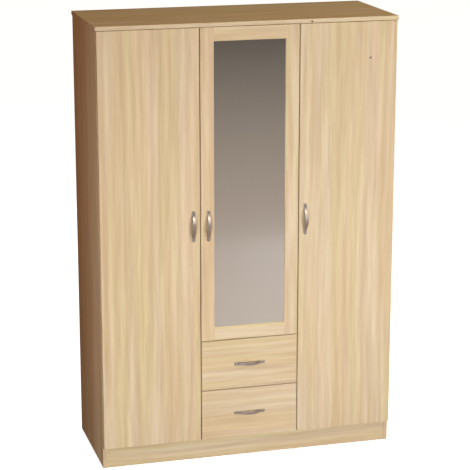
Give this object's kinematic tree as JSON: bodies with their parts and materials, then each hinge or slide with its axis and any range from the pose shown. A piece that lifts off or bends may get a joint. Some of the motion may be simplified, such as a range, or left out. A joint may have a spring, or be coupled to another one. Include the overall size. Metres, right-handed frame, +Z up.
{
  "type": "wardrobe",
  "caption": "Flat-pack wardrobe in light oak foil, with a framed mirror door above drawers, a hanging bay with a hat shelf and a bay of adjustable shelves.",
  "frame": {"origin": "on the floor, under the middle of the overall box", "axes": "+Z up, the doors face -Y, +X to the right when facing the doors"},
  "size_m": [1.226, 0.5116, 1.8],
  "materials": {
    "oak_foil": "light oak-grain foil on chipboard, satin",
    "drawer_board": "pale foil on fibreboard",
    "hardboard": "brown hardboard",
    "mirror": "silvered glass",
    "satin_nickel": "satin nickel on a zinc casting",
    "plated_steel": "nickel-plated pressed steel",
    "zinc_casting": "bare zinc casting",
    "chromed_tube": "chromed steel tube",
    "white_plastic": "moulded nylon",
    "white_powder_coat": "white powder-coated steel",
    "beech_dowel": "fluted beech",
    "buffer_rubber": "clear soft buffer"
  },
  "bodies": {
    "carcass": {"back_panel_left": "hardboard", "back_panel_right": "hardboard", "bottom_panel": "oak_foil", "cam_bolts": "plated_steel", "cam_locks": "zinc_casting", "carcass_screws": "plated_steel", "door_buffers": "buffer_rubber", "drawer_partition": "oak_foil", "drawer_top_shelf": "oak_foil", "fixed_runners": "white_powder_coat", "floor_glides": "white_plastic", "hanging_rail": "chromed_tube", "hat_shelf": "oak_foil", "hinge_arms": "plated_steel", "hinge_plates": "plated_steel", "left_side_panel": "oak_foil", "plinth": "oak_foil", "rail_sockets": "white_plastic", "rear_plinth": "oak_foil", "right_shelf_lower": "oak_foil", "right_shelf_middle": "oak_foil", "right_shelf_upper": "oak_foil", "right_side_panel": "oak_foil", "shelf_pins": "plated_steel", "tall_partition": "oak_foil", "top_panel": "oak_foil", "wall_brackets": "plated_steel", "wood_dowels": "beech_dowel"},
    "left_door": {"left_door_panel": "oak_foil", "left_door_handle": "satin_nickel", "left_door_hinge_cups": "plated_steel"},
    "mirror_door": {"mirror_door_left_stile": "oak_foil", "mirror_door_right_stile": "oak_foil", "mirror_door_top_rail": "oak_foil", "mirror_door_bottom_rail": "oak_foil", "mirror_glass": "mirror", "mirror_backing": "hardboard", "mirror_door_handle": "satin_nickel", "mirror_door_hinge_cups": "plated_steel"},
    "right_door": {"right_door_panel": "oak_foil", "right_door_handle": "satin_nickel", "right_door_hinge_cups": "plated_steel"},
    "upper_drawer": {"upper_drawer_front": "oak_foil", "upper_drawer_left_side": "drawer_board", "upper_drawer_right_side": "drawer_board", "upper_drawer_back": "drawer_board", "upper_drawer_bottom": "hardboard", "upper_drawer_runners": "white_powder_coat", "upper_drawer_handle": "satin_nickel"},
    "upper_front_rollers": {"upper_front_rollers": "white_plastic"},
    "upper_rear_rollers": {"upper_rear_rollers": "white_plastic"},
    "lower_drawer": {"lower_drawer_front": "oak_foil", "lower_drawer_left_side": "drawer_board", "lower_drawer_right_side": "drawer_board", "lower_drawer_back": "drawer_board", "lower_drawer_bottom": "hardboard", "lower_drawer_runners": "white_powder_coat", "lower_drawer_handle": "satin_nickel"},
    "lower_front_rollers": {"lower_front_rollers": "white_plastic"},
    "lower_rear_rollers": {"lower_rear_rollers": "white_plastic"}
  },
  "joints": [
    {"name": "left_door_swing", "type": "hinge", "parent": "carcass", "child": "left_door", "pos_m": [-0.601, -0.22825, 0.994], "axis": [0, 0, -1], "range_deg": [0, 95]},
    {"name": "mirror_door_swing", "type": "hinge", "parent": "carcass", "child": "mirror_door", "pos_m": [0.19433, -0.22825, 0.994], "axis": [0, 0, 1], "range_deg": [0, 95]},
    {"name": "right_door_swing", "type": "hinge", "parent": "carcass", "child": "right_door", "pos_m": [0.601, -0.22825, 0.994], "axis": [0, 0, 1], "range_deg": [0, 95]},
    {"name": "upper_drawer_slide", "type": "slide", "parent": "carcass", "child": "upper_drawer", "axis": [0, -1, 0], "range_m": [0, 0.32]},
    {"name": "upper_front_rollers_spin", "type": "hinge", "parent": "carcass", "child": "upper_front_rollers", "pos_m": [0, -0.20275, 0.33725], "axis": [1, 0, 0], "range_deg": [-5, 2560]},
    {"name": "upper_rear_rollers_spin", "type": "hinge", "parent": "upper_drawer", "child": "upper_rear_rollers", "pos_m": [0, 0.17075, 0.33525], "axis": [1, 0, 0], "range_deg": [-5, 2560]},
    {"name": "lower_drawer_slide", "type": "slide", "parent": "carcass", "child": "lower_drawer", "axis": [0, -1, 0], "range_m": [0, 0.32]},
    {"name": "lower_front_rollers_spin", "type": "hinge", "parent": "carcass", "child": "lower_front_rollers", "pos_m": [0, -0.20275, 0.12625], "axis": [1, 0, 0], "range_deg": [-5, 2560]},
    {"name": "lower_rear_rollers_spin", "type": "hinge", "parent": "lower_drawer", "child": "lower_rear_rollers", "pos_m": [0, 0.17075, 0.12425], "axis": [1, 0, 0], "range_deg": [-5, 2560]}
  ],
  "couplings": [
    {"joint": "upper_front_rollers_spin", "follows": "upper_drawer_slide", "rad_per_m": 138.89},
    {"joint": "upper_rear_rollers_spin", "follows": "upper_drawer_slide", "rad_per_m": 138.89},
    {"joint": "lower_front_rollers_spin", "follows": "lower_drawer_slide", "rad_per_m": 138.89},
    {"joint": "lower_rear_rollers_spin", "follows": "lower_drawer_slide", "rad_per_m": 138.89}
  ]
}
